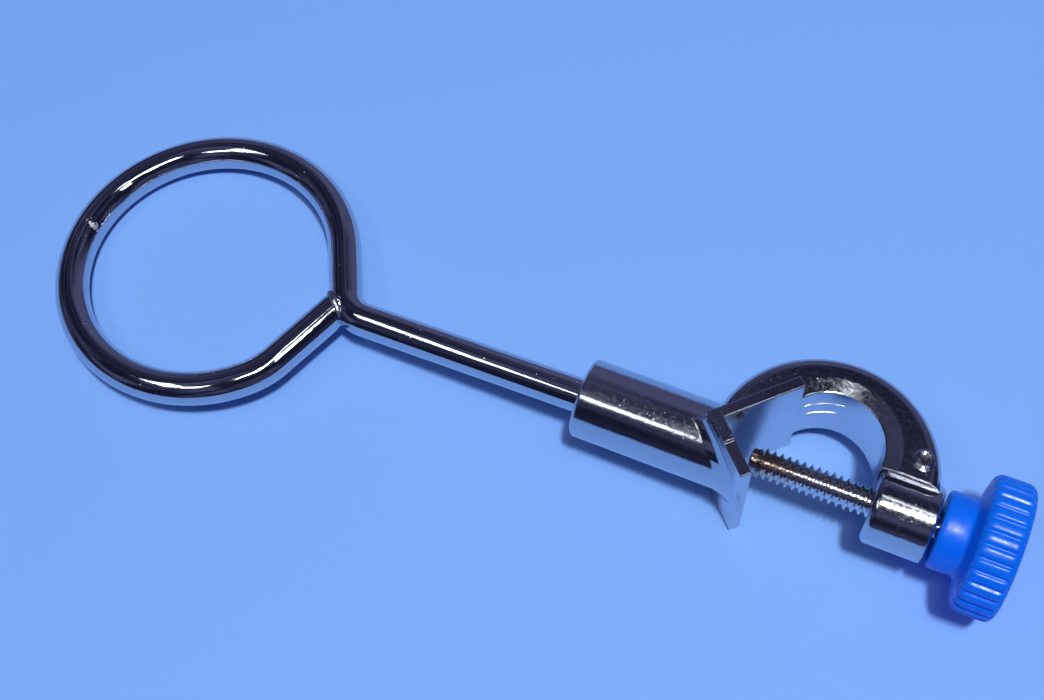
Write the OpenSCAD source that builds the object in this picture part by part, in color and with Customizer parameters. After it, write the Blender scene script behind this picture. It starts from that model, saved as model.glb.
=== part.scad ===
// Support ring clamp: a round bar bent into a ring, pressed into a die-cast clamp body
// that grips a stand rod with a thumbscrew. All sizes are in millimetres.
// Origin: axis of the stand rod that the jaw is drawn for, at half the jaw's height.
// +X runs along the screw towards the knob, +Z along the stand rod.

/* [Ring bar] */
// Clear diameter inside the ring
ring_clear_d = 60; // [40:1:120]
// Diameter of the round bar, over its plating
bar_d = 8.2; // [6:0.1:10]
// Distance from the stand rod's axis to the ring's centre
ring_reach = 142.1; // [120:0.1:240]
// How far the bar droops in its socket, in degrees
bar_droop = 2.4; // [0:0.1:3]
// Angle round the ring, in degrees, where the bar leaves it for the neck
neck_angle = 28; // [15:1:35]
// Radius of the bend from the neck to the straight rod, on the bar's centreline
neck_bend_r = 8; // [5.5:0.5:9]
// How far the straight free end cuts inside the ring's circle
end_inset = 1.2; // [0.4:0.1:2.4]
// Radius of the bend before the straight free end, on the bar's centreline
end_bend_r = 20; // [12:1:26]
// Direction of the free end's inset, in degrees below the rod
end_angle = 21.5; // [12:0.5:26]
// How far the weld lies past the rod's axis, along the free end
weld_past = 0.6; // [0:0.1:1.5]
// Radius of the weld bead's section
weld_r = 0.8; // [0.5:0.1:1.4]
// Slope of the mitred weld across the bar, in degrees
weld_slope = 40; // [30:1:50]

/* [Clamp body] */
// Diameter of the stand rod that the jaw is drawn for
stand_d = 12.7; // [10:0.1:16]
// Outer diameter of the socket that holds the bar
socket_d = 18.8; // [15:0.1:24]
// Length of the socket, from its face to the bottom of the jaw
socket_len = 32.9; // [26:0.1:45]
// Depth of the bar in the socket
bar_depth = 22; // [12:0.5:24]
// Chamfer on the socket's face
socket_chamfer = 0.7; // [0.3:0.1:1.5]
// Blend between the socket and the back of the jaw
root_blend = 2.6; // [1:0.1:4]
// Height of the jaw's two plates
jaw_h = 31.7; // [24:0.1:40]
// Thickness of the jaw's two plates
jaw_t = 2.6; // [2:0.1:3.5]
// Length of the plate that the arm backs
long_leg = 19.6; // [17:0.1:22]
// Length of the free plate
short_leg = 13.9; // [11:0.1:17]
// Drop of the step across the free plate's top
leg_step = 0.5; // [0.2:0.1:0.9]
// Distance of that step from the bottom of the jaw
leg_step_at = 5.5; // [4:0.1:8]

/* [Arm and boss] */
// Height of the arm at its crest
arm_h = 19.9; // [17:0.1:24]
// Height of the arm at its inner lip
lip_h = 18.8; // [15:0.1:20]
// Width of the sloping band between the crest and the lip
lip_band = 3.7; // [2:0.1:5]
// Radius of the rounded outer edges of the arm
arm_round = 3; // [1:0.1:5]
// Radius of the throat inside the arm
throat_r = 11.85; // [10:0.05:14]
// Distance from the bottom of the jaw to the throat's centre, along the screw
throat_x = 22.9; // [21:0.1:25]
// Distance of the throat's centre from the screw's axis
throat_y = 6.3; // [5:0.1:8]
// Radius of the arm's outer side
arm_r = 25.6; // [24:0.1:29]
// Distance of the outer side's centre from the throat's centre, back along the screw
arm_back = 0.1; // [0:0.1:1.5]
// Distance of the outer side's centre from the screw's axis
arm_y = 1.5; // [1:0.1:4]
// Distance from the screw's axis to the step where the arm meets the boss
arm_foot = 4.5; // [3:0.1:6]
// Outer diameter of the screw boss
boss_d = 17.7; // [14:0.1:19]
// Length of the screw boss
boss_len = 14.1; // [10:0.1:18]
// Free distance from the throat to the face of the boss
boss_set_back = 0.7; // [0.2:0.1:2]
// Rounding of the boss's inner end
boss_round = 1.5; // [0.5:0.1:3]
// Outer radius of the ejector mark on the arm
pin_mark_r = 2.4; // [1.5:0.1:2.8]
// Distance of the ejector mark from the boss's inner end, along the screw
pin_mark_in = 7.3; // [5:0.1:9]
// Distance of the ejector mark from the step above the boss
pin_mark_up = 5; // [3.5:0.1:7]
// Height of the ejector mark's rim
pin_mark_h = 0.3; // [0.1:0.1:0.6]

/* [Thumbscrew] */
// Outer diameter of the screw's thread
screw_d = 7; // [5.5:0.1:8]
// Pitch of the screw's thread
thread_pitch = 1.7; // [1:0.1:2]
// Depth of the thread
thread_depth = 0.85; // [0.4:0.05:1]
// How far the tip reaches past the stand rod's axis, towards the jaw
tip_past = 1.5; // [0:0.1:4]
// Length of the plain nose at the tip
nose_len = 0.8; // [0.4:0.1:2]
// Clearance round the screw in the boss, on the radius
screw_clearance = 0.05; // [0.02:0.01:0.09]
// Diameter of the screw's head inside the knob
head_d = 12; // [9:0.5:13]
// Length of the screw's head inside the knob
head_len = 5; // [3:0.5:6]

/* [Knob] */
// How far the knob's ribbed rim stays inside the jaw's height, on the radius
knob_inset = 0.1; // [0.1:0.1:3]
// Length of the ribbed rim
rim_len = 10.4; // [8:0.1:16]
// Diameter of the knob's hub
hub_d = 18; // [15:0.1:21]
// Length of the hub, up to the shoulder of the rim
hub_len = 6.6; // [4:0.1:10]
// Gap between the boss and the hub
knob_gap = 0.9; // [0.9:0.1:3]
// Ribs round the rim
rib_count = 32; // [24:1:40]
// Radius of the flutes between the ribs
flute_r = 0.85; // [0.5:0.05:1.1]
// Rounding of the rim's two edges
rim_round = 2; // [1:0.1:3]
// Clearance between the knob and the screw's head
knob_clearance = 0.05; // [0.02:0.01:0.09]

/* [Hidden] */
$fn = 64;

ring_r = (ring_clear_d + bar_d) / 2;
jaw_x = -stand_d / 2 * sqrt(2);            // bottom of the jaw, for plates at a right angle
socket_x = jaw_x - socket_len;
throat_cx = jaw_x + throat_x;
arm_cx = throat_cx - arm_back;
boss_x = throat_cx + throat_r + boss_set_back;
boss_end = boss_x + boss_len;
hub_x = boss_end + knob_gap;
rim_x = hub_x + hub_len;
knob_end = rim_x + rim_len;
tip_x = -tip_past;
knob_d = jaw_h - 2 * knob_inset;
leg_end = long_leg / sqrt(2);
past = 1;                                  // overshoot of a cutter past the face it opens
cut = 80;                                  // side of a cutter that clears the whole clamp

// ---- Ring bar -------------------------------------------------------------

neck_corner = ring_r / cos(neck_angle);    // where the neck's line crosses the rod's axis
neck_turn = 90 - neck_angle;
neck_setback = neck_bend_r * tan(neck_turn / 2);
end_turn = acos((ring_r - end_inset - end_bend_r) / (ring_r - end_bend_r));
ring_sweep = 360 - neck_angle - end_angle - end_turn;

// The bar's route from inside the socket: [straight length] or [radius, turn to the left]
bar_path = [
    [socket_x + bar_depth - (-ring_reach + neck_corner) - neck_setback],
    [neck_bend_r, -neck_turn],
    [ring_r * tan(neck_angle) - neck_setback],
    [ring_r, ring_sweep],
    [0],
    [end_bend_r, end_turn]
];
bend_thinning = 0.03;                      // bends are drawn this much thinner, so that a straight caps each end
bend_lap = 0.08;                           // and each straight runs this far into the bend

module bar_run(path, i = 0) {
    if (i < len(path)) {
        if (len(path[i]) == 1) {
            from = i == 0 ? 0 : -bend_lap;
            translate([from, 0, 0]) rotate([0, 90, 0])
                cylinder(h = path[i][0] + bend_lap - from, d = bar_d);
            translate([path[i][0], 0, 0]) bar_run(path, i + 1);
        } else {
            r = path[i][0];
            turn = abs(path[i][1]);
            side = sign(path[i][1]);
            translate([0, side * r, 0]) {
                rotate([0, 0, side > 0 ? -90 : 90 - turn])
                    rotate_extrude(angle = turn) translate([r, 0]) circle(d = bar_d - bend_thinning);
                rotate([0, 0, side * turn]) translate([0, -side * r, 0]) bar_run(path, i + 1);
            }
        }
    }
}

// The straight free end, measured from the ring's centre
end_heading = 90 - end_angle;
end_line = ring_r - end_inset;
end_from = -(ring_r - end_bend_r) * sin(end_turn);
weld_at = end_line * tan(end_angle) + weld_past;
                                           // along the free end, where its centreline meets the weld
weld_skew = weld_slope + end_heading;      // angle from the free end to the weld's plane

module in_end_frame() {
    translate([-ring_reach, 0, 0]) rotate([0, 0, -end_angle]) translate([end_line, 0, 0]) rotate([0, 0, 90])
        children();
}

module free_end() {
    difference() {
        translate([end_from - bend_lap, 0, 0]) rotate([0, 90, 0])
            cylinder(h = weld_at - end_from + bar_d, d = bar_d);
        translate([weld_at, 0, 0]) rotate([0, 0, -weld_skew]) translate([-cut / 2, 0, -cut / 2])
            cube([cut, cut, cut]);
    }
}

// The bead lies along the mitre, half sunk in the bar
module weld_bead() {
    translate([weld_at, 0, 0]) rotate([0, 0, 90 - weld_skew]) rotate([0, 90, 0])
        rotate_extrude() translate([bar_d / 2 + weld_r / 8, 0]) circle(r = weld_r);
}

// The bar and its bore share one line, which droops a little about the socket's face
module on_bar_line() {
    translate([socket_x, 0, 0]) rotate([0, -bar_droop, 0]) translate([-socket_x, 0, 0]) children();
}

module support_ring() {
    color("silver") on_bar_line() {
        translate([socket_x + bar_depth, 0, 0]) rotate([0, 0, 180]) bar_run(bar_path);
        in_end_frame() {
            free_end();
            weld_bead();
        }
    }
}

// ---- Clamp body -----------------------------------------------------------

module along_x(x = 0) {
    translate([x, 0, 0]) rotate([0, 90, 0]) children();
}

// Everything inside the right angle whose corner is at x
module wedge(x) {
    translate([x, 0, -cut / 2]) rotate([0, 0, -45]) cube([cut, cut, cut]);
}

// A thin slice of a cylinder, parallel to the back of the plate on one side
module root_slice(grow, back, side) {
    thin = 0.1;
    intersection() {
        along_x(socket_x + socket_chamfer) cylinder(h = socket_len + boss_len, r = socket_d / 2 + grow, $fn = 32);
        translate([jaw_x - (jaw_t + back) * sqrt(2), 0, -cut / 2]) rotate([0, 0, 45 * side])
            translate([-cut, side > 0 ? -thin : 0, 0]) cube([2 * cut, thin, cut]);
        translate([socket_x, side > 0 ? -thin : thin - cut, -cut / 2]) cube([cut, cut, cut]);
    }
}

// The blend is hollow: it widens slowly, then fast where it meets the plate
module root(side) {
    hull() {
        root_slice(-0.1, root_blend, side);
        root_slice(root_blend * 0.25, root_blend * 0.3, side);
    }
    hull() {
        root_slice(root_blend * 0.25, root_blend * 0.3, side);
        root_slice(root_blend, -jaw_t / 4, side);
    }
}

module socket() {
    difference() {
        union() {
            along_x(socket_x) rotate_extrude() polygon([
                [0, 0],
                [socket_d / 2 - socket_chamfer, 0],
                [socket_d / 2, socket_chamfer],
                [socket_d / 2, socket_len + leg_end],
                [0, socket_len + leg_end]
            ]);
            root(1);
            root(-1);
        }
        wedge(jaw_x - jaw_t / sqrt(2));
    }
}

module jaw_plate(len, side) {
    translate([jaw_x, 0, -jaw_h / 2]) rotate([0, 0, 45 * side])
        translate([-jaw_t, side > 0 ? 0 : -jaw_t, 0]) cube([len + jaw_t, jaw_t, jaw_h]);
}

module jaw() {
    jaw_plate(long_leg, 1);
    difference() {
        jaw_plate(short_leg, -1);
        translate([jaw_x, 0, jaw_h / 2 - leg_step]) rotate([0, 0, -45])
            translate([leg_step_at, -jaw_t - past, 0]) cube([short_leg, jaw_t + 2 * past, leg_step + past]);
    }
}

module arm_outline() {
    polygon([
        [jaw_x - jaw_t * sqrt(2), 0],
        [jaw_x, 0],
        [jaw_x + leg_end, leg_end],
        [throat_cx, throat_y],
        [throat_cx + throat_r, throat_y],
        [throat_cx + throat_r, arm_foot],
        [boss_end, arm_foot],
        [boss_end, cut],
        [-cut, cut],
        [-cut, 0]
    ]);
}

module arm_disc() {
    translate([arm_cx, arm_y, 0]) rotate_extrude($fn = 96) {
        translate([0, -arm_h / 2]) square([arm_r - arm_round, arm_h]);
        translate([0, -arm_h / 2 + arm_round]) square([arm_r, arm_h - 2 * arm_round]);
        for (s = [-1, 1]) translate([arm_r - arm_round, s * (arm_h / 2 - arm_round)]) intersection() {
            circle(r = arm_round);
            translate([-arm_round / 2, -arm_round]) square([2 * arm_round, 2 * arm_round]);
        }
    }
}

module throat() {
    slope = (arm_h - lip_h) / 2;
    translate([throat_cx, throat_y, 0]) {
        cylinder(h = cut, r = throat_r, center = true, $fn = 96);
        for (s = [0, 1]) mirror([0, 0, s]) translate([0, 0, lip_h / 2])
            cylinder(h = 2 * slope, r1 = throat_r, r2 = throat_r + 2 * lip_band, $fn = 96);
    }
}

module ejector_mark() {
    translate([boss_x + pin_mark_in, arm_foot + pin_mark_up, arm_h / 2 - past]) difference() {
        cylinder(h = past + pin_mark_h, r = pin_mark_r);
        translate([0, 0, past / 2]) cylinder(h = 2 * past, r = pin_mark_r * 0.45);
    }
}

module arm() {
    difference() {
        intersection() {
            arm_disc();
            linear_extrude(height = cut, center = true) arm_outline();
        }
        throat();
    }
    ejector_mark();
}

module boss() {
    along_x(boss_x) rotate_extrude() {
        translate([0, boss_round]) square([boss_d / 2, boss_len - boss_round - 0.5]);
        square([boss_d / 2 - boss_round, boss_len]);
        translate([boss_d / 2 - boss_round, boss_round]) circle(r = boss_round);
        polygon([
            [0, boss_len - 0.5],
            [boss_d / 2, boss_len - 0.5],
            [boss_d / 2 - 0.5, boss_len],
            [0, boss_len]
        ]);
    }
}

module clamp_body() {
    color("gainsboro") difference() {
        union() {
            socket();
            jaw();
            arm();
            boss();
        }
        on_bar_line() along_x(socket_x - past) cylinder(h = bar_depth + past, d = bar_d);
        along_x(boss_x - past) cylinder(h = boss_len + 2 * past, r = screw_d / 2 + screw_clearance);
    }
}

// ---- Thumbscrew -----------------------------------------------------------

head_x = rim_x + (rim_len - head_len) / 2;
thread_len = hub_x - tip_x - nose_len;
thread_count = floor(thread_len / thread_pitch);
core_r = screw_d / 2 - thread_depth;
nose_chamfer = 0.4;

// Half-section of the screw: a ridge for each turn of the thread, then shank and head
module stud_profile() {
    polygon(concat(
        [[0, 0], [core_r - nose_chamfer, 0], [core_r, nose_chamfer]],
        [for (k = [0 : thread_count - 1], c = [[0.06, core_r], [0.42, screw_d / 2], [0.58, screw_d / 2], [0.94, core_r]])
            [c[1], nose_len + (k + c[0]) * thread_pitch]],
        [
            [core_r, nose_len + thread_len],
            [screw_d / 2, nose_len + thread_len],
            [screw_d / 2, head_x - tip_x],
            [head_d / 2, head_x - tip_x],
            [head_d / 2, head_x - tip_x + head_len],
            [0, head_x - tip_x + head_len]
        ]
    ));
}

module screw_stud() {
    color("lightsteelblue") along_x(tip_x) rotate_extrude() stud_profile();
}

// ---- Knob -----------------------------------------------------------------

module knob_profile() {
    hub_edge = 1.2;
    r = knob_d / 2;
    polygon([
        [0, 0],
        [hub_d / 2 - hub_edge, 0],
        [hub_d / 2, hub_edge],
        [hub_d / 2, hub_len],
        [r - rim_round, hub_len + 1],
        [r - rim_round, hub_len + rim_len],
        [0, hub_len + rim_len]
    ]);
    translate([0, hub_len + 1 + rim_round]) square([r, rim_len - 1 - 2 * rim_round]);
    for (x = [hub_len + 1 + rim_round, hub_len + rim_len - rim_round])
        translate([r - rim_round, x]) circle(r = rim_round);
}

module knob() {
    color("dodgerblue") difference() {
        along_x(hub_x) rotate_extrude() knob_profile();
        for (k = [0 : rib_count - 1]) rotate([360 * k / rib_count, 0, 0])
            translate([rim_x, 0, knob_d / 2 + flute_r * 0.2]) along_x() cylinder(h = rim_len + past, r = flute_r, $fn = 24);
        along_x(hub_x - past) cylinder(h = head_x - hub_x + 2 * past, r = screw_d / 2 + knob_clearance);
        along_x(head_x - knob_clearance) cylinder(h = head_len + 2 * knob_clearance, r = head_d / 2 + knob_clearance);
    }
}

support_ring();
clamp_body();
screw_stud();
knob();
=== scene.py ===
import math

import bpy
from mathutils import Matrix, Vector


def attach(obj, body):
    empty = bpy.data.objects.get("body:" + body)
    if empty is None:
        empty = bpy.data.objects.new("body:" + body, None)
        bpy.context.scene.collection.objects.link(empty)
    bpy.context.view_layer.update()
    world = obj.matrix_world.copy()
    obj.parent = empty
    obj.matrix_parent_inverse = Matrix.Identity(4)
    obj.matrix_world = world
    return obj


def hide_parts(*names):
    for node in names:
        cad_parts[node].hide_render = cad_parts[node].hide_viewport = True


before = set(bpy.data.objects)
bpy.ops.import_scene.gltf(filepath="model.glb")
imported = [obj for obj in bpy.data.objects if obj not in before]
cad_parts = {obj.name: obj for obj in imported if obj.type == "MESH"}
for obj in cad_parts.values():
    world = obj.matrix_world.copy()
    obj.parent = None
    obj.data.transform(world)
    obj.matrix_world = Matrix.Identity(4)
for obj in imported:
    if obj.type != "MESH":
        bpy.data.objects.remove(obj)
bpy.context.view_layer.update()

# A support ring clamp on a pale blue floor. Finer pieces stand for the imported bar, screw
# and knob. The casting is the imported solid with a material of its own.
MM = 0.001

# ---- Sizes that repeat the part's own, in millimetres and radians -----------
ROD_R = 12.7 / 2                        # the stand rod whose axis is the origin
# The bar, the ring that it is bent into, and its weld
BAR_R = 4.08                            # 0.02 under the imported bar's
BAR_DEPTH = 22.0                        # in the socket
BAR_DROOP = math.radians(2.4)
RING_R = 34.1                           # on the bar's centreline
RING_REACH = 142.1                      # from the origin to the ring's centre
NECK_ANGLE = math.radians(28)           # round the ring, where the bar leaves it
NECK_BEND_R = 8.0
END_INSET = 1.2                         # of the straight free end, inside the ring's circle
END_BEND_R = 20.0
END_ANGLE = math.radians(21.5)
WELD_PAST = 0.6                         # past the rod's axis, along the free end
WELD_SLOPE = math.radians(40)
WELD_R = 0.8
# The casting
JAW_X = -ROD_R * math.sqrt(2)           # bottom of the jaw's V
JAW_T = 2.6                             # thickness of its plates
JAW_H = 31.7
SOCKET_X = JAW_X - 32.9                 # the socket's face
THROAT_X = JAW_X + 22.9
THROAT_Y = 6.3
THROAT_R = 11.85
ARM_TOP = 19.9 / 2
ARM_FOOT = 4.5                          # from the screw's axis to the arm's step at the boss
BOSS_X = THROAT_X + THROAT_R + 0.7      # the boss's inner end
BOSS_END = BOSS_X + 14.1
MARK_X = BOSS_X + 7.3                   # the ejector mark
MARK_Y = ARM_FOOT + 5.0
MARK_R = 2.4
# The screw
TIP_X = -1.5
NOSE = 0.8                              # plain length at the tip
SCREW_R = 3.5
PITCH = 1.7
THREAD_DEPTH = 0.85
# The knob
HUB_X = BOSS_END + 0.9                  # the hub's face
HUB_R = 9.0
HUB_LEN = 6.6
RIM_R = JAW_H / 2 - 0.1
RIM_LEN = 10.4
RIM_ROUND = 2.0
RIBS = 32

# ---- Sizes of the finer pieces alone, in millimetres ------------------------
BAR_STEP = 1.5                          # between rows of points on the bar's straights
BAR_TURN = math.radians(2)              # between rows of points in its bends
END_LAP = 0.4 * BAR_R                   # the free end's reach past the weld, inside the bend
WELD_SINK = 0.40                        # of the bead's centreline under the bar's surface
MARK_RIM = 0.50                         # radius of the ejector rim's section
MARK_CENTRE = MARK_R - 0.60             # radius of the rim's centreline
NOSE_IN = 0.4                           # chamfer of the screw's tip
SCREW_LAP = 2.0                         # of the screw inside the knob
BORE_R = SCREW_R + 0.1                  # the knob's hole, as far in as it can be seen
BORE_DEPTH = 2.0
BORE_LIP = 0.3                          # depth of the chamfer at the hole's edge
BORE_FLARE = 0.4                        # its width
HUB_ROUND = 1.2                         # rounding of the hub's front edge
RIM_FILLET = 1.0                        # length of the fillet from the hub to the rim
GROOVE = 0.68                           # depth of the grooves between the ribs
CROWN = 0.10                            # drop of a rib's top from its middle to its sides

# ---- Camera, fitted to the photograph: millimetres, unit axes, 36 mm sensor -
CAMERA_AT = Vector((16.47, -138.853, 311.818))
CAMERA_RIGHT = Vector((0.91682773, 0.39726774, -0.04006561))
CAMERA_DOWN = Vector((0.33536463, -0.82063079, -0.46270473))
CAMERA_AHEAD = Vector((-0.21669674, 0.41078394, -0.88560662))
SENSOR = 36.0
LENS = 51.81

# ---- Stage ------------------------------------------------------------------
# The part rests on the jaw's outer corner, its longer plate's end and the ring's far side.
FLOOR_SLOPE = 0.0509
FLOOR_RISE = Vector((-1, 1, 0)).normalized() * FLOOR_SLOPE
FLOOR_GAP = 0.02
FLOOR_LOW = Vector((JAW_X - JAW_T * math.sqrt(2), 0, -JAW_H / 2 - FLOOR_GAP))
FLOOR_HALF = 4000.0
# Lamps: name, X, Y, long side and short side in metres, watts, turn in degrees
LAMP_HEIGHT = 1.9
LAMPS = [
    ("key", 0.36, -0.33, 0.20, 0.13, 27.0, -80),
    ("key_side", 0.33, -0.10, 0.30, 0.13, 1.2, -75),
    ("near", 0.15, -0.47, 0.30, 0.14, 2.6, 30),
    ("tail", 0.14, 0.19, 0.50, 0.08, 0.35, -43),
    ("side", 0.80, -0.03, 0.70, 0.20, 1.6, -23),
    ("strip", -0.86, -0.64, 0.80, 0.34, 2.6, -60),
    ("panel", -0.40, -0.95, 0.36, 0.36, 1.2, 0),
]
ROOM_DARK = (0.011, 0.012, 0.034, 1)
ROOM_PALE = (0.085, 0.087, 0.175, 1)
ROOM_WALL = (0.115, 0.120, 0.240, 1)


def make_camera():
    cam = bpy.data.objects.new("camera", bpy.data.cameras.new("camera"))
    bpy.context.scene.collection.objects.link(cam)
    axes = Matrix([CAMERA_RIGHT, -CAMERA_DOWN, -CAMERA_AHEAD]).transposed()
    cam.matrix_world = Matrix.Translation(CAMERA_AT * MM) @ axes.to_4x4()
    cam.data.sensor_width = SENSOR
    cam.data.lens = LENS
    cam.data.clip_start = 0.01
    bpy.context.scene.camera = cam


# ---- Mesh helpers -----------------------------------------------------------
def piece(name, verts, faces, material, smooth=True):
    """An object from points in millimetres."""
    mesh = bpy.data.meshes.new(name)
    mesh.from_pydata([tuple(c * MM for c in v) for v in verts], [], faces)
    mesh.validate()
    mesh.update()
    if smooth:
        mesh.polygons.foreach_set("use_smooth", [True] * len(mesh.polygons))
    mesh.materials.append(material)
    obj = bpy.data.objects.new(name, mesh)
    bpy.context.scene.collection.objects.link(obj)
    return obj


def turns(count):
    """Angles once round, evenly spaced."""
    return [2 * math.pi * i / count for i in range(count)]


def tube_faces(rows, cols):
    """Faces between rows of points, each row closed on itself."""
    faces = []
    for i in range(rows - 1):
        for j in range(cols):
            a, b = i * cols + j, i * cols + (j + 1) % cols
            faces.append((a, b, b + cols, a + cols))
    return faces


def ring_faces(rows, cols):
    """Faces of a closed ring of rows, each row closed on itself."""
    faces = []
    for i in range(rows):
        here, ahead = i * cols, (i + 1) % rows * cols
        for j in range(cols):
            k = (j + 1) % cols
            faces.append((here + j, ahead + j, ahead + k, here + k))
    return faces


def end_faces(total, cols):
    """The two end faces of a tube of that many points."""
    return [tuple(range(cols)), tuple(reversed(range(total - cols, total)))]


# ---- Shader helpers ---------------------------------------------------------
def new_material(name, **sockets):
    """A material, its node tree and its shader, with some of the shader's sockets set."""
    mat = bpy.data.materials.new(name)
    mat.use_nodes = True
    shader = mat.node_tree.nodes["Principled BSDF"]
    for key, value in sockets.items():
        shader.inputs[key.replace("_", " ")].default_value = value
    return mat, mat.node_tree, shader


def feed(tree, socket, value):
    """Give a socket a fixed value, or link another socket to it."""
    if isinstance(value, bpy.types.NodeSocket):
        tree.links.new(value, socket)
    else:
        socket.default_value = value


def noise(tree, scale, detail, space="Object"):
    """Noise over an object, its scale per metre."""
    where = tree.nodes.new("ShaderNodeTexCoord")
    tex = tree.nodes.new("ShaderNodeTexNoise")
    tex.inputs["Scale"].default_value = scale
    tex.inputs["Detail"].default_value = detail
    tree.links.new(where.outputs[space], tex.inputs["Vector"])
    return tex.outputs["Fac"]


def ramp(tree, source, start, end, low=0.0, high=1.0, smooth=False):
    """Carry a value from start..end over to low..high, and hold it there."""
    node = tree.nodes.new("ShaderNodeMapRange")
    if smooth:
        node.interpolation_type = "SMOOTHSTEP"
    node.inputs["From Min"].default_value = start
    node.inputs["From Max"].default_value = end
    node.inputs["To Min"].default_value = low
    node.inputs["To Max"].default_value = high
    tree.links.new(source, node.inputs["Value"])
    return node.outputs["Result"]


def math_node(tree, kind, first, second):
    node = tree.nodes.new("ShaderNodeMath")
    node.operation = kind
    feed(tree, node.inputs[0], first)
    feed(tree, node.inputs[1], second)
    return node.outputs["Value"]


def mix_colour(tree, factor, first, second):
    mix = tree.nodes.new("ShaderNodeMix")
    mix.data_type = "RGBA"
    feed(tree, mix.inputs["Factor"], factor)
    feed(tree, mix.inputs["A"], first)
    feed(tree, mix.inputs["B"], second)
    return mix.outputs["Result"]


def coordinate(tree, space, axis):
    where = tree.nodes.new("ShaderNodeTexCoord")
    split = tree.nodes.new("ShaderNodeSeparateXYZ")
    tree.links.new(where.outputs[space], split.inputs["Vector"])
    return split.outputs[axis]


def set_roughness(tree, shader, fine, low, high, worn=None, dull=0.0):
    """Roughness from fine noise, with more of it where the surface is worn."""
    rough = ramp(tree, fine, start=0.35, end=0.70, low=low, high=high)
    if worn is not None:
        rough = math_node(tree, "ADD", rough, math_node(tree, "MULTIPLY", worn, dull))
    tree.links.new(rough, shader.inputs["Roughness"])


def add_bump(tree, shader, height, strength, distance, edge=0.0):
    """Bumps of a height in millimetres, over edges that look rounded by a radius."""
    bump = tree.nodes.new("ShaderNodeBump")
    bump.inputs["Strength"].default_value = strength
    bump.inputs["Distance"].default_value = distance * MM
    tree.links.new(height, bump.inputs["Height"])
    if edge:
        bevel = tree.nodes.new("ShaderNodeBevel")
        bevel.samples = 6
        bevel.inputs["Radius"].default_value = edge * MM
        tree.links.new(bevel.outputs["Normal"], bump.inputs["Normal"])
    tree.links.new(bump.outputs["Normal"], shader.inputs["Normal"])


def spots(tree, places, swing=2.4, start=1.00, end=1.20):
    """A mask of ragged spots, each a point and a radius in millimetres.

    Noise moves a spot's edge by up to the swing; start and end, beyond the
    radius, are where the spot begins to fade and is gone.
    """
    where = tree.nodes.new("ShaderNodeTexCoord").outputs["Object"]
    ragged = math_node(tree, "MULTIPLY", noise(tree, scale=1100, detail=5), swing * MM)
    total = None
    for point, radius in places:
        far = tree.nodes.new("ShaderNodeVectorMath")
        far.operation = "DISTANCE"
        tree.links.new(where, far.inputs[0])
        far.inputs[1].default_value = [c * MM for c in point]
        reach = math_node(tree, "ADD", far.outputs["Value"], ragged)
        spot = ramp(tree, reach, (radius + start) * MM, (radius + end) * MM, low=1.0, high=0.0)
        total = spot if total is None else math_node(tree, "MAXIMUM", total, spot)
    return total


def specks(tree, scale, size, gather, start):
    """A mask of tiny pits; gather is the scale of their patches and start what makes one."""
    where = tree.nodes.new("ShaderNodeTexCoord")
    cells = tree.nodes.new("ShaderNodeTexVoronoi")
    cells.inputs["Scale"].default_value = scale
    tree.links.new(where.outputs["Object"], cells.inputs["Vector"])
    dot = ramp(tree, cells.outputs["Distance"], size * 0.6, size, low=1.0, high=0.0)
    patch = ramp(tree, noise(tree, gather, detail=2), start, start + 0.06)
    return math_node(tree, "MULTIPLY", dot, patch)


# ---- Points on the bar, in millimetres --------------------------------------
def drooped(x, y, z):
    """A point of the level bar, turned with it about the socket's face."""
    c, s = math.cos(BAR_DROOP), math.sin(BAR_DROOP)
    dx = x - SOCKET_X
    return (SOCKET_X + dx * c - z * s, y, dx * s + z * c)


def on_ring(round_ring, round_bar):
    """A point on the ring's surface; the second angle goes from the outside over the top."""
    a, b = math.radians(round_ring), math.radians(round_bar)
    out = RING_R + BAR_R * math.cos(b)
    return drooped(-RING_REACH + out * math.cos(a), out * math.sin(a), BAR_R * math.sin(b))


def on_rod(x, round_bar):
    """A point on the straight rod's surface."""
    b = math.radians(round_bar)
    return drooped(x, BAR_R * math.cos(b), BAR_R * math.sin(b))


# Marks on the bar's plating, as points and radii in millimetres
RACK_MARK = [
    (on_ring(181.2, 84), 0.10), (on_ring(181.6, 98), 0.35), (on_ring(182.2, 112), 0.40),
    (on_ring(182.8, 124), 0.75), (on_ring(182.6, 138), 0.85), (on_ring(183.4, 152), 0.50),
]
TICKS = [
    (on_rod(-87.4, 119), 0.10), (on_rod(-87.4, 127), 0.16), (on_rod(-87.5, 135), 0.10),
    (on_rod(-89.2, 145), 0.10), (on_rod(-89.3, 155), 0.12),
    (on_ring(71.5, 128), 0.30), (on_ring(190, 92), 0.20), (on_ring(192, 96), 0.15),
    (on_ring(296, 118), 0.15), (on_ring(303, 112), 0.12), (on_ring(309, 116), 0.20),
]


# ---- Materials --------------------------------------------------------------
def plated_bar():
    clean, pale = (0.58, 0.60, 0.67, 1), (0.66, 0.70, 0.82, 1)
    mat, tree, shader = new_material("plated_bar", Metallic=1.0)
    marks = spots(tree, RACK_MARK + TICKS)
    pits = specks(tree, scale=480, size=0.12, gather=55, start=0.54)
    worn = math_node(tree, "MAXIMUM", marks, pits)
    tree.links.new(mix_colour(tree, worn, clean, pale), shader.inputs["Base Color"])
    fine = noise(tree, scale=900, detail=4)
    set_roughness(tree, shader, fine, low=0.035, high=0.085, worn=worn, dull=0.45)
    add_bump(tree, shader, noise(tree, scale=260, detail=2), strength=0.16, distance=0.2)
    return mat


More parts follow.
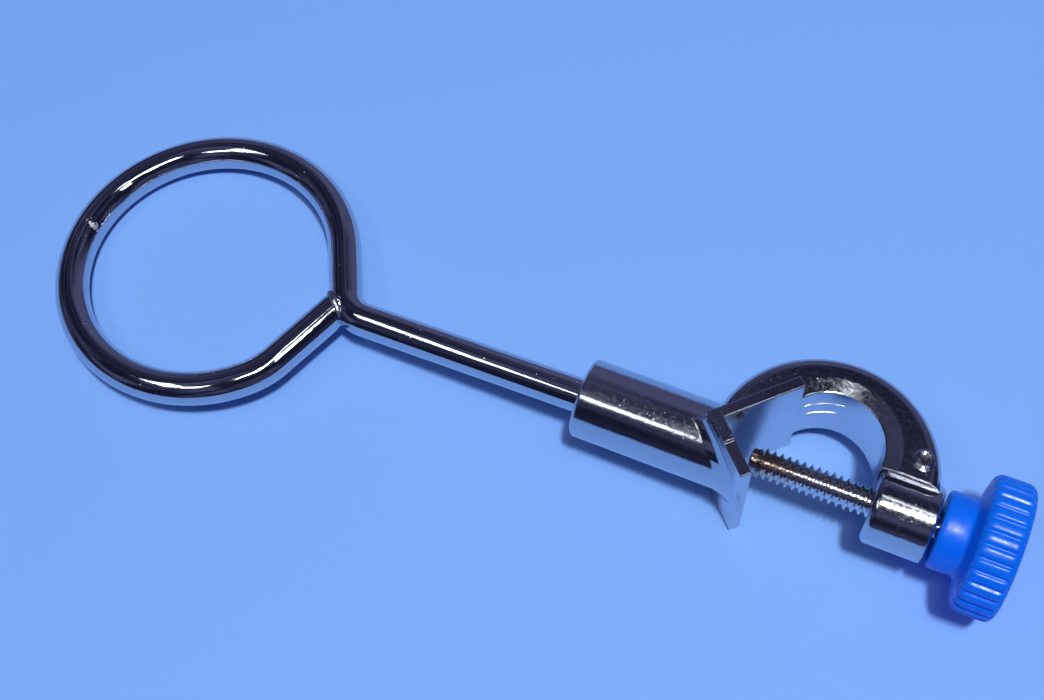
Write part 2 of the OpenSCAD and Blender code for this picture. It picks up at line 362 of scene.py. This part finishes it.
def weld_metal():
    mat, tree, shader = new_material("weld_metal", Base_Color=(0.34, 0.35, 0.42, 1), Metallic=1.0)
    fine = noise(tree, scale=1200, detail=4)
    set_roughness(tree, shader, fine, low=0.32, high=0.50)
    add_bump(tree, shader, fine, strength=0.5, distance=0.3)
    return mat


def plated_casting():
    clean, pale = (0.56, 0.58, 0.65, 1), (0.66, 0.68, 0.76, 1)
    mat, tree, shader = new_material("plated_casting", Metallic=1.0)
    pits = specks(tree, scale=900, size=0.22, gather=90, start=0.50)
    tree.links.new(mix_colour(tree, pits, clean, pale), shader.inputs["Base Color"])
    fine = noise(tree, scale=1300, detail=5)
    set_roughness(tree, shader, fine, low=0.08, high=0.17, worn=pits, dull=0.14)
    waves = noise(tree, scale=1000, detail=3)
    add_bump(tree, shader, waves, strength=0.09, distance=0.2, edge=0.6)
    return mat


# Near-black metal that paints the shade in the ejector mark's hollow.
def painted_shade_pit():
    dark, less_dark = (0.05, 0.05, 0.08, 1), (0.16, 0.16, 0.20, 1)
    mat, tree, shader = new_material("painted_shade_pit", Metallic=1.0)
    fine = noise(tree, scale=1600, detail=3)
    tree.links.new(mix_colour(tree, fine, dark, less_dark), shader.inputs["Base Color"])
    set_roughness(tree, shader, fine, low=0.25, high=0.45)
    return mat


def screw_steel():
    """Steel that turns brownish over its last turns, towards the tip."""
    brownish, steel = (0.78, 0.60, 0.48, 1), (0.76, 0.76, 0.79, 1)
    brown_from, brown_to = (TIP_X + 1) * MM, (TIP_X + 13) * MM
    mat, tree, shader = new_material("screw_steel", Metallic=1.0)
    fine = noise(tree, scale=1500, detail=4)
    set_roughness(tree, shader, fine, low=0.08, high=0.18)
    along = ramp(tree, coordinate(tree, "Object", "X"), brown_from, brown_to)
    tree.links.new(mix_colour(tree, along, brownish, steel), shader.inputs["Base Color"])
    add_bump(tree, shader, fine, strength=0.12, distance=0.1)
    return mat


def blue_plastic():
    deep, light = (0.0, 0.135, 0.86, 1), (0.0, 0.165, 0.95, 1)
    mat, tree, shader = new_material("blue_plastic", IOR=1.45)
    fine = noise(tree, scale=700, detail=3)
    set_roughness(tree, shader, fine, low=0.26, high=0.40)
    cloud = noise(tree, scale=90, detail=2)
    tree.links.new(mix_colour(tree, cloud, deep, light), shader.inputs["Base Color"])
    add_bump(tree, shader, fine, strength=0.06, distance=0.2)
    return mat


# ---- The bar ----------------------------------------------------------------
def bar_route():
    """Centreline of the level bar from inside the socket to the free end, with its heading."""
    corner = RING_R / math.cos(NECK_ANGLE)
    turn = math.pi / 2 - NECK_ANGLE
    setback = NECK_BEND_R * math.tan(turn / 2)
    end_turn = math.acos((RING_R - END_INSET - END_BEND_R) / (RING_R - END_BEND_R))
    sweep = 2 * math.pi - NECK_ANGLE - END_ANGLE - end_turn
    free_end = (RING_R - END_BEND_R) * math.sin(end_turn)
    free_end += (RING_R - END_INSET) * math.tan(END_ANGLE) + WELD_PAST + END_LAP
    x, y, heading = SOCKET_X + BAR_DEPTH, 0.0, math.pi
    # straights as (length, 0) and bends as (radius, angle)
    steps = [
        (x + RING_REACH - corner - setback, 0),
        (NECK_BEND_R, -turn),
        (RING_R * math.tan(NECK_ANGLE) - setback, 0),
        (RING_R, sweep),
        (END_BEND_R, end_turn),
        (free_end, 0),
    ]
    route = [(x, y, heading)]
    for size, angle in steps:
        if angle == 0:
            count = max(2, int(size / BAR_STEP))
            chord = size / count
        else:
            count = max(6, int(abs(angle) / BAR_TURN))
            chord = 2 * size * math.sin(abs(angle) / count / 2)
        part = angle / count
        for _ in range(count):
            x += chord * math.cos(heading + part / 2)
            y += chord * math.sin(heading + part / 2)
            heading += part
            route.append((x, y, heading))
    return route


def make_bar(material):
    around = 72
    route = bar_route()
    verts = []
    for x, y, heading in route:
        for a in turns(around):
            side, up = BAR_R * math.cos(a), BAR_R * math.sin(a)
            across_x, across_y = -side * math.sin(heading), side * math.cos(heading)
            verts.append(drooped(x + across_x, y + across_y, up))
    faces = tube_faces(len(route), around) + end_faces(len(verts), around)
    obj = piece("ring_bar", verts, faces, material)
    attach(obj, "clamp")
    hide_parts("support_ring")


def make_weld(material):
    """Lumpy bead along the mitre between the free end and the bend."""
    rows, cols = 96, 14
    end_line = RING_R - END_INSET       # from the ring's centre to the free end's centreline
    mitre_at = end_line * math.tan(END_ANGLE) + WELD_PAST
    skew = WELD_SLOPE + math.pi / 2 - END_ANGLE
    c, s = math.cos(END_ANGLE), math.sin(END_ANGLE)
    verts = []
    for a in turns(rows):
        size = WELD_R * (1 + 0.12 * math.sin(9 * a) + 0.10 * math.sin(4 * a + 1))
        for b in turns(cols):
            out = BAR_R - WELD_SINK + size * math.cos(b)
            across, up = out * math.cos(a), out * math.sin(a)
            # the mitre's plane slopes, so the bead lies further along on one side
            along = mitre_at - across / math.tan(skew) + 1.1 * size * math.sin(b)
            x, y = end_line - across, along
            verts.append(drooped(-RING_REACH + x * c + y * s, y * c - x * s, up))
    obj = piece("weld_bead", verts, ring_faces(rows, cols), material)
    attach(obj, "clamp")


# ---- Details of the casting -------------------------------------------------
def half_round(name, path, radius, material):
    """A rounded bead, thinner to its ends, along points that each have two directions across."""
    cols, thin = 10, 0.4
    verts = []
    for i, (point, across, up) in enumerate(path):
        r = radius * math.sin(math.pi * (i + 0.5) / len(path)) ** thin
        for a in turns(cols):
            c, s = r * math.cos(a), r * math.sin(a)
            verts.append(tuple(p + c * u + s * v for p, u, v in zip(point, across, up)))
    faces = tube_faces(len(path), cols) + end_faces(len(verts), cols)
    obj = piece(name, verts, faces, material)
    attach(obj, "clamp")


def parting_line(name, z, start, end, radius, material):
    """A slightly wavy flash line along the throat's wall, between two angles in degrees."""
    steps, wave = 40, 0.12
    path = []
    for i in range(steps + 1):
        a = math.radians(start + (end - start) * i / steps)
        c, s = math.cos(a), math.sin(a)
        point = (THROAT_X + THROAT_R * c, THROAT_Y + THROAT_R * s, z + wave * math.sin(5 * a))
        path.append((point, (c, s, 0), (0, 0, 1)))
    half_round(name, path, radius, material)


def around_mark(radius, angle, height):
    """A point at a radius and angle about the ejector mark, above the arm's top."""
    return (MARK_X + radius * math.cos(angle), MARK_Y + radius * math.sin(angle),
            ARM_TOP + height)


def make_mark_rim(material):
    """The ejector mark's rounded rim, a little proud of the arm's top."""
    cols, rows, proud = 48, 12, 0.02
    verts = []
    for a in turns(cols):
        for b in turns(rows):
            out = MARK_CENTRE + MARK_RIM * math.cos(b)
            verts.append(around_mark(out, a, proud + MARK_RIM * math.sin(b)))
    rim = piece("ejector_rim", verts, ring_faces(cols, rows), material)
    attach(rim, "clamp")


def make_mark_pit(material):
    """The pit inside the rim, with its shade painted in dark: a shallow dish from a point under
    it to its middle.
    """
    cols = 48
    # radius, and height over the arm's top
    levels = [(MARK_CENTRE - 0.2, 0.06), (MARK_CENTRE - 0.2, 0.14),
              (MARK_CENTRE - 0.7, 0.03), (0.25, 0.02)]
    bottom, middle = -0.3, 0.015
    verts = [around_mark(0, 0, bottom)]
    for radius, height in levels:
        verts += [around_mark(radius, a, height) for a in turns(cols)]
    verts.append(around_mark(0, 0, middle))
    faces = []
    for i in range(cols):
        n = (i + 1) % cols
        faces.append((0, 1 + n, 1 + i))
        for k in range(len(levels) - 1):
            a, b = 1 + k * cols, 1 + (k + 1) * cols
            faces.append((a + i, a + n, b + n, b + i))
        last = 1 + (len(levels) - 1) * cols
        faces.append((last + i, last + n, len(verts) - 1))
    pit = piece("ejector_pit", verts, faces, material)
    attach(pit, "clamp")


# ---- The screw --------------------------------------------------------------
def make_screw(material):
    """The screw with its real helix; rows run along it, one turn of points to a row."""
    around = 48
    length = HUB_X - TIP_X + SCREW_LAP
    core = SCREW_R - THREAD_DEPTH
    # across one pitch: a share of the pitch, and a share of the thread's depth
    section = [(0.0, 0), (0.10, 0), (0.42, 1), (0.58, 1), (0.90, 0)]
    fade_in = 0.8 * PITCH
    count = int((length - NOSE) / PITCH)
    verts = []
    for x, r in ((0.0, core - NOSE_IN), (NOSE_IN, core)):
        for a in turns(around):
            verts.append((TIP_X + x, r * math.cos(a), r * math.sin(a)))
    for k in range(count):
        for t, height in section:
            for j, a in enumerate(turns(around)):
                x = NOSE + (k + t + j / around) * PITCH
                fade = min(1.0, (x - NOSE) / fade_in)
                r = core + THREAD_DEPTH * height * fade
                verts.append((TIP_X + min(x, length), r * math.cos(a), -r * math.sin(a)))
    faces = [tuple(reversed(range(around)))]
    for j in range(around):
        n = (j + 1) % around
        faces.append((j, n, around + n, around + j))
    base = 2 * around
    # from the nose to the thread's first row, whose points run the other way round
    for j in range(around):
        faces.append((around + j, around + (j + 1) % around,
                      base + (around - j - 1) % around, base + (around - j) % around))
    rows = count * len(section)
    for i in range(rows - 1):
        for j in range(around - 1):
            a = base + i * around + j
            faces.append((a, a + around, a + around + 1, a + 1))
    # the seam: the end of a row meets the start of the row one turn on
    step = len(section)
    for i in range(rows - step - 1):
        a, d = base + i * around + around - 1, base + (i + 1) * around + around - 1
        b, c = base + (i + step) * around, base + (i + step + 1) * around
        faces.append((a, d, c, b))
    obj = piece("screw_thread", verts, faces, material, smooth=False)
    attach(obj, "screw")
    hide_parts("screw_stud")


# ---- The knob ---------------------------------------------------------------
def groove_depth(u):
    """Depth of the rim's surface, with u from -0.5 to 0.5 across a rib."""
    crown_half, groove_from, groove_over = 0.3, 0.26, 0.24
    v = abs(u)
    crown = CROWN * min(1.0, v / crown_half) ** 2
    t = min(1.0, max(0.0, (v - groove_from) / groove_over))
    return crown + (GROOVE - CROWN) * t * t * (3 - 2 * t)


def knob_profile():
    """Points from the bore to the back: distance from the hub's face, radius, grooves' share."""
    steps = 6
    quarter = [math.pi / 2 * k / steps for k in range(steps + 1)]
    rim_from, back = HUB_LEN + RIM_FILLET, HUB_LEN + RIM_LEN
    # the bore, its chamfer and the hub's flat face
    profile = [(BORE_DEPTH, BORE_R, 0), (BORE_LIP, BORE_R, 0),
               (0, BORE_R + BORE_FLARE, 0), (0, HUB_R - HUB_ROUND - 0.2, 0)]
    # the hub's rounded edge and its side
    for a in quarter[1:-1]:
        profile.append((HUB_ROUND * (1 - math.cos(a)), HUB_R - HUB_ROUND * (1 - math.sin(a)), 0))
    profile += [(1.5, HUB_R, 0), (3.5, HUB_R, 0)]
    # the fillet from the hub up to the rim's shoulder
    profile += [(HUB_LEN - 0.9, HUB_R, 0), (HUB_LEN - 0.3, HUB_R + 0.15, 0),
                (HUB_LEN + 0.1, HUB_R + 0.8, 0), (HUB_LEN + 0.5, (HUB_R + RIM_R) / 2, 0)]
    # the rim: a rounded edge, the ribs' straight part, and the other rounded edge
    for k, a in enumerate(quarter):
        profile.append((rim_from + RIM_ROUND * (1 - math.cos(a)),
                        RIM_R - RIM_ROUND * (1 - math.sin(a)), k / steps))
    straight = RIM_LEN - RIM_FILLET - 2 * RIM_ROUND
    for k in range(1, steps):
        profile.append((rim_from + RIM_ROUND + straight * k / steps, RIM_R, 1))
    for k, a in enumerate(quarter):
        profile.append((back - RIM_ROUND * (1 - math.sin(a)),
                        RIM_R - RIM_ROUND * (1 - math.cos(a)), 1 - k / steps))
    profile.append((back, HUB_R * 0.5, 0))
    return profile


def make_knob(material):
    around = RIBS * 14
    profile = knob_profile()
    verts = []
    for x, radius, grooved in profile:
        for j, a in enumerate(turns(around)):
            u = (j / around * RIBS) % 1.0 - 0.5
            r = radius - math.sqrt(grooved) * groove_depth(u)
            verts.append((HUB_X + x, -r * math.sin(a), r * math.cos(a)))
    faces = [tuple(reversed(f)) for f in tube_faces(len(profile), around)]
    faces += end_faces(len(verts), around)
    obj = piece("knob_shell", verts, faces, material)
    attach(obj, "knob")
    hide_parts("knob")


# ---- Floor, lamps and room --------------------------------------------------
def make_floor():
    mat, tree, shader = new_material("floor", Base_Color=(0.21, 0.44, 0.97, 1), Roughness=0.7)
    # far from the lamps the floor keeps its paleness out to the horizon, between two
    # distances in metres
    near, far = 0.4, 3.0
    where = tree.nodes.new("ShaderNodeTexCoord")
    reach = tree.nodes.new("ShaderNodeVectorMath")
    reach.operation = "LENGTH"
    tree.links.new(where.outputs["Object"], reach.inputs[0])
    fade = ramp(tree, reach.outputs["Value"], near, far, smooth=True)
    shader.inputs["Emission Color"].default_value = (0.15, 0.31, 0.72, 1)
    tree.links.new(fade, shader.inputs["Emission Strength"])
    verts = []
    for x, y in ((-1, -1), (1, -1), (1, 1), (-1, 1)):
        p = Vector((x, y, 0)) * FLOOR_HALF
        verts.append((p.x, p.y, FLOOR_LOW.z + FLOOR_RISE.dot(p - FLOOR_LOW)))
    obj = piece("floor", verts, [(0, 1, 2, 3)], mat, smooth=False)


def lamp(name, x, y, long_side, short_side, power, turn):
    """A rectangular lamp that faces the floor, its long side turned from X."""
    data = bpy.data.lights.new(name, "AREA")
    data.shape = "RECTANGLE"
    data.size, data.size_y = long_side, short_side
    data.energy = power
    obj = bpy.data.objects.new(name, data)
    bpy.context.scene.collection.objects.link(obj)
    obj.location = (x, y, LAMP_HEIGHT)
    obj.rotation_euler = (0, 0, math.radians(turn))


def make_world():
    """A dark room in soft uneven patches, with a paler wall on the arm's side."""
    world = bpy.data.worlds.new("world")
    bpy.context.scene.world = world
    world.use_nodes = True
    tree = world.node_tree
    patches = noise(tree, scale=2.2, detail=3.0, space="Generated")
    room = mix_colour(tree, ramp(tree, patches, start=0.46, end=0.68), ROOM_DARK, ROOM_PALE)
    toward_arm = coordinate(tree, "Generated", "Y")
    wall = ramp(tree, toward_arm, start=0.50, end=0.90, high=0.75, smooth=True)
    background = tree.nodes["Background"]
    tree.links.new(mix_colour(tree, wall, room, ROOM_WALL), background.inputs["Color"])
    background.inputs["Strength"].default_value = 1.0


# ---- The scene --------------------------------------------------------------
bpy.context.scene.view_settings.view_transform = "Standard"
make_camera()
casting = plated_casting()
make_bar(plated_bar())
make_weld(weld_metal())
parting_line("parting_low", -0.5, 94, 131, 0.22, casting)
parting_line("parting_high", 4.1, 86, 134, 0.14, casting)
make_mark_rim(casting)
# the ejector mark's dish gets painted shade
make_mark_pit(painted_shade_pit())
make_screw(screw_steel())
make_knob(blue_plastic())
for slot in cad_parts["clamp_body"].material_slots:
    slot.material = casting
make_floor()
for row in LAMPS:
    lamp(*row)
make_world()
